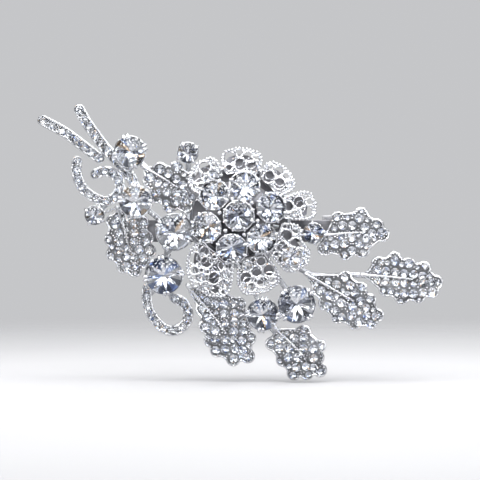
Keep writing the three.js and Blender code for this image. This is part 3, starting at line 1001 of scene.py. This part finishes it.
# ---- stones in claws ----
def add_claw(parts, place, radius, angle, wire):
    """A claw that rises beside the stone and folds over its edge."""
    profile = [
        (0.6 * radius, 0.6 * radius),
        (0.94 * radius + 0.1, 0.2 * radius),
        (radius + 0.42, 0.0),
        (radius + 0.48, -0.05 * radius - 0.25),
        (radius + 0.2, -0.05 * radius - 0.6),
        (radius - 0.22, -0.05 * radius - 0.78),
    ]
    widths = [wire * 1.3, wire * 1.1, wire, wire, wire * 1.25, wire * 1.2]
    add_tube(parts, [round_axis(place, r, y, angle) for r, y in profile], widths)


def stone_seat(node):
    """Centre of the girdle and radius of a stone that faces straight forward, in millimetres."""
    low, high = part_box(node)
    radius = (high.x - low.x) / 2 / MM
    centre = (low + high) / 2 / MM
    return Vector((centre.x, low.y / MM + CROWN * radius, centre.z)), radius


def build_cup(name, chance):
    """A turned cup with claws in pairs round a large stone, or single round a small one."""
    centre, radius = stone_seat(f"stone_{name}")
    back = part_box(f"cup_{name}")[1].y / MM - centre.y
    place = Matrix.Translation(centre)
    cup = Parts()
    rim = 0.3
    profile = [
        (0, back - 0.5),
        (0.35 * radius, back - 0.62),
        (0.7 * radius, 0.46 * radius + 0.2),
        (radius - 0.12, rim),
        (radius + 0.1, rim - 0.14),
        (radius + 0.28, rim + 0.05),
        (0.82 * radius + 0.2, 0.4 * radius + 0.25),
        (CUP_FOOT_RADIUS + 0.25, back - 0.35),
        (CUP_FOOT_RADIUS, back),
        (0, back),
    ]
    add_turned(cup, profile, place)
    large = radius > 3
    turn = chance.uniform(0, math.pi / 2)
    for quarter in range(4):
        angle = turn + quarter * math.pi / 2
        spread = 0.5 / radius if large else 0
        for side in (-1, 1) if large else (0,):
            add_claw(cup, place, radius, angle + side * spread, CLAW_WIRE if large else SMALL_CLAW_WIRE)
    make_piece(f"cup_{name}_claws", cup, [SILVER], [f"cup_{name}"])
    stone = Parts()
    spin = facing(centre, (0, -1, 0), chance.uniform(0, math.pi / 4))
    add_stone(stone, BRILLIANT, spin, radius, chance)
    make_piece(f"cup_{name}_stone", stone, STONE_LOOKS, [f"stone_{name}"])


def cluster_place(name):
    """The frame of a cluster stone: the outer six lean away from the flower's middle."""
    low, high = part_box(f"cluster_stone_{name}")
    middle = (low + high) / 2 / MM
    out = Vector((middle.x - FLOWER[0], 0, middle.z - FLOWER[1]))
    if out.length < 1:
        normal = Vector((0, -1, 0))
    else:
        lean = math.radians(CLUSTER_TILT)
        normal = Vector((0, -1, 0)) * math.cos(lean) + out.normalized() * math.sin(lean)
    radius = cluster_radius()
    # the box's middle in depth lies between the table and the culet
    centre = middle + normal * (PAVILION - CROWN) / 2 * radius
    return centre, normal, radius


def cluster_radius():
    low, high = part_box("cluster_stone_centre")
    return (high.x - low.x) / 2 / MM


def build_cluster(chance):
    """Seven stones with a ring and claws round each, and a post in each gap between three of them."""
    basket = Parts()
    places = {name: cluster_place(name) for name in CLUSTER}
    for name, (centre, normal, radius) in places.items():
        stone = Parts()
        place = facing(centre, normal, chance.uniform(0, math.pi / 4))
        add_stone(stone, BRILLIANT, place, radius, chance)
        make_piece(f"cluster_{name}_stone", stone, STONE_LOOKS, [f"cluster_stone_{name}"])
        others = [c for other, (c, _, _) in places.items() if other != name]
        straight = facing(centre, normal)
        ring = [round_axis(straight, radius + 0.12, 0.25, angle) for angle in turns(28)]
        add_tube(basket, ring, 0.3, closed=True)
        for step in range(8):
            angle = (step + 0.5) * math.pi / 4
            tip = round_axis(straight, radius + 0.1, -0.4, angle)
            if all(math.hypot(tip.x - c.x, tip.z - c.z) > radius * 0.98 for c in others):
                add_claw(basket, straight, radius, angle, CLUSTER_CLAW_WIRE)
    middle = places["centre"][0]
    outer = [places[name][0] for name in CLUSTER[1:]]
    for here, after in pairs(outer):
        add_turned(basket, GAP_POST, Matrix.Translation((middle + here + after) / 3), sides=12)
    make_piece("cluster_claws", basket, [SILVER])


def build_links():
    """A short beaded bar between each pair of neighbouring cups in LINKS."""
    links = Parts()
    for first, second in LINKS:
        start, start_radius = stone_seat(f"stone_{first}")
        end, end_radius = stone_seat(f"stone_{second}")
        start, end = Vector((start.x, start.z)), Vector((end.x, end.z))
        along = (end - start).normalized()
        start, end = start + along * 0.7 * start_radius, end - along * 0.7 * end_radius
        for i, point in enumerate(resampled([start, end], LINK_SPACING, False)):
            add_ball(links, (point.x, CAST_BACK - 0.5, point.y), LINK_BEAD * (1.0 if i % 2 else 0.86))
    make_piece("beaded_links", links, [SILVER])


# ---- CAD pieces that keep their shape, with eased edges ----
def bevelled_copy(name, material, body, width, front=None):
    """The CAD node with its edges eased. Faces towards the ornament may take a second material, which
    paints shade on them.
    """
    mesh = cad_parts[name].data.copy()
    mesh.materials.clear()
    mesh.materials.append(material)
    if front:
        mesh.materials.append(front)
    work = bmesh.new()
    work.from_mesh(mesh)
    bmesh.ops.remove_doubles(work, verts=work.verts, dist=1e-6)
    bmesh.ops.dissolve_limit(work, angle_limit=math.radians(3), verts=work.verts, edges=work.edges)
    sharp = [e for e in work.edges if len(e.link_faces) == 2 and e.calc_face_angle() > math.radians(50)]
    bmesh.ops.bevel(
        work, geom=sharp, offset=width * MM, segments=2, profile=0.6, affect="EDGES", clamp_overlap=True
    )
    bmesh.ops.recalc_face_normals(work, faces=work.faces)
    for face in work.faces:
        face.smooth = True
        if front and face.normal.y < -0.5:
            face.material_index = 1
    work.to_mesh(mesh)
    work.free()
    mesh.set_sharp_from_angle(angle=math.radians(35))
    piece = bpy.data.objects.new(f"{name}_finished", mesh)
    bpy.context.scene.collection.objects.link(piece)
    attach(piece, body)
    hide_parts(name)


# ---- frame ----
def build_frame(chance):
    """A cast twig along each arm of the frame, and a dished hub behind the flower."""
    frame_parts = Parts()
    for corners in FRAME_ARMS:
        path = resampled(smooth_path(corners), 0.9, False)
        twig = [(p.x, FRAME_MIDDLE, p.y) for p in path]
        add_tube(frame_parts, twig, [FRAME_HALF * chance.uniform(0.86, 0.99) for _ in twig], sides=10)
    place = Matrix.Translation((FLOWER[0], FRAME_MIDDLE, FLOWER[1]))
    add_turned(frame_parts, HUB_PROFILE, place, sides=64)
    # the liner is painted shade over the hub's front
    add_turned(frame_parts, HUB_LINER, place, sides=64, slot=1)
    for radius in HUB_RINGS:
        ring = [round_axis(place, radius, 0.5, angle) for angle in turns(56)]
        add_tube(frame_parts, ring, HUB_RING_WIRE, closed=True, sides=6)
    for angle in turns(16):
        rib = [round_axis(place, radius, 0.5, angle) for radius in HUB_RIB]
        add_tube(frame_parts, rib, HUB_RIB_WIRE, sides=6)
    make_piece("back_frame_twigs", frame_parts, [CAST, PAINTED_SHADE_METAL], ["back_frame"])


# ---- barrette ----
def build_hardware():
    # the barrette base's front faces take the painted-shade dark silver: painted shade where the ornament
    # hides them
    bevelled_copy("barrette_base", STEEL, "ornament", 0.12, PAINTED_SHADE_METAL)
    for name in ("rivet_left", "rivet_right"):
        bevelled_copy(name, STEEL, "ornament", 0.12)
    bevelled_copy("hinge_pin", STEEL, "ornament", 0.1)
    bevelled_copy("clasp_arm", STEEL, "clasp_arm", 0.12)
    bevelled_copy("tension_bar", SPRING, "tension_bar", 0.08)
    for name in ("catch_leg_upper", "catch_leg_lower"):
        bevelled_copy(name, SPRING, name, 0.06)
    # the cluster basket is in the painted-shade dark silver: painted shade under the cluster stones
    bevelled_copy("cluster_basket", PAINTED_SHADE_METAL, "ornament", 0.12)


# ---- studio ----
def build_world():
    """A plain backdrop for the camera, and a soft lighter-below gradient for reflections."""
    world = bpy.data.worlds.new("studio")
    bpy.context.scene.world = world
    world.use_nodes = True
    nodes, links = world.node_tree.nodes, world.node_tree.links
    background = nodes["Background"]
    path = add_node(nodes, "LightPath")
    coordinates = add_node(nodes, "TexCoord")
    split = add_node(nodes, "SeparateXYZ")
    ramp = add_ramp(nodes, 0.3, REFLECTED_BELOW, 0.62, REFLECTED_ABOVE)
    spread = add_node(nodes, "MapRange", From_Min=-1)
    mix = add_node(nodes, "Mix")
    mix.data_type = "RGBA"
    join(links, coordinates, "Generated", split, "Vector")
    join(links, split, "Z", spread, "Value")
    join(links, spread, "Result", ramp, "Fac")
    join(links, path, "Is Camera Ray", mix, "Factor")
    join(links, ramp, "Color", mix, "A")
    mix.inputs["B"].default_value = BACKDROP
    join(links, mix, "Result", background, "Color")


def add_softbox(name, position, size, power, colour=(1, 1, 1)):
    light = bpy.data.lights.new(name, "AREA")
    light.shape = "RECTANGLE"
    light.size, light.size_y = size
    light.energy = power
    light.color = colour
    lamp = bpy.data.objects.new(name, light)
    lamp.location = position
    towards = LIGHT_TARGET - Vector(position)
    lamp.rotation_euler = towards.to_track_quat("-Z", "Y").to_euler()
    lamp.visible_camera = False
    bpy.context.scene.collection.objects.link(lamp)


def around(azimuth, elevation):
    """A place on a sphere round the clip, from angles in degrees off the straight front."""
    a, e = math.radians(azimuth), math.radians(elevation)
    level = LIGHT_DISTANCE * math.cos(e)
    return (level * math.sin(a), -level * math.cos(a), LIGHT_DISTANCE * math.sin(e))


def build_lights():
    """A wall of small softboxes in front, because cut stones need many separate lights to sparkle."""
    for row, (elevation, power) in enumerate(KEY_ROWS):
        for column in range(-3, 4):
            azimuth = KEY_SPACING * (column + 0.5 * (row % 2)) / math.cos(math.radians(elevation))
            add_softbox(f"key_{row}_{column}", around(azimuth, elevation), (0.1, 0.1), power)
    add_softbox("top", (0.0, -0.05, 0.6), (0.5, 0.4), 1.6)
    add_softbox("right_strip", around(72, 6), (0.1, 0.3), 0.5)
    add_softbox("left_strip", around(-76, 8), (0.1, 0.3), 0.5)
    add_softbox("behind", (0.2, 0.5, 0.4), (0.5, 0.4), 1.6)
    add_softbox("blue_glint", around(28, 25), (0.05, 0.05), 0.1, (0.35, 0.5, 1.0))
    add_softbox("amber_glint", around(-28, 26), (0.04, 0.04), 0.07, (1.0, 0.6, 0.3))


def build_floor():
    """A pale disc just under the lowest leaf. It fades outward, and is a darker grey in reflections."""
    material, nodes, links, shader = new_material("pale_floor")
    shader.inputs["Roughness"].default_value = 0.85
    grain = add_noise(nodes, links, 9, 1)
    vary_colour(nodes, links, shader, grain, (0.53, 0.53, 0.54), (0.55, 0.55, 0.56))
    coordinates = add_node(nodes, "TexCoord")
    length = add_node(nodes, "VectorMath")
    length.operation = "LENGTH"
    fade = add_node(nodes, "MapRange", From_Min=FLOOR_FADE[0], From_Max=FLOOR_FADE[1])
    clear = add_node(nodes, "BsdfTransparent")
    mix = add_node(nodes, "MixShader")
    path = add_node(nodes, "LightPath")
    grey = add_node(nodes, "BsdfDiffuse", Color=FLOOR_IN_REFLECTIONS)
    softened = add_node(nodes, "MixShader")
    join(links, path, "Is Glossy Ray", softened, "Fac")
    join(links, shader, "BSDF", softened, 1)
    join(links, grey, "BSDF", softened, 2)
    join(links, coordinates, "Object", length, 0)
    join(links, length, "Value", fade, "Value")
    join(links, fade, "Result", mix, "Fac")
    join(links, softened, "Shader", mix, 1)
    join(links, clear, "BSDF", mix, 2)
    join(links, mix, "Shader", nodes["Material Output"], "Surface")
    bpy.ops.mesh.primitive_circle_add(vertices=96, radius=FLOOR_RADIUS, fill_type="NGON")
    floor = bpy.context.object
    floor.name = "floor"
    floor.location.z = cad_box[0][2] - FLOOR_GAP
    floor.data.materials.append(material)


def build_film():
    bpy.context.scene.view_settings.view_transform = "Standard"


def build_camera():
    camera = bpy.data.cameras.new("camera")
    camera.lens = CAMERA_LENS
    camera.sensor_width = CAMERA_SENSOR
    viewer = bpy.data.objects.new("camera", camera)
    viewer.location = CAMERA_PLACE
    viewer.rotation_euler = (math.pi / 2, 0, 0)
    bpy.context.scene.collection.objects.link(viewer)
    bpy.context.scene.camera = viewer


def main():
    chance = random.Random(SEED)
    build_camera()
    build_film()
    build_world()
    build_lights()
    build_floor()
    build_hardware()
    build_frame(chance)
    petals = [build_petal(f"petal_{name}", chance) for name in PETALS]
    for name in MIDRIBS:
        build_leaf(name, petals, chance)
    for name, corners in STEMS.items():
        build_band(name, smooth_path(corners), STEM_HALF_WIDTH, chance)
    for name, shape in SCROLLS.items():
        build_band(name, scroll_path(**shape), SCROLL_HALF_WIDTH, chance)
    for name in CUPS:
        build_cup(name, chance)
    build_cluster(chance)
    build_links()


main()
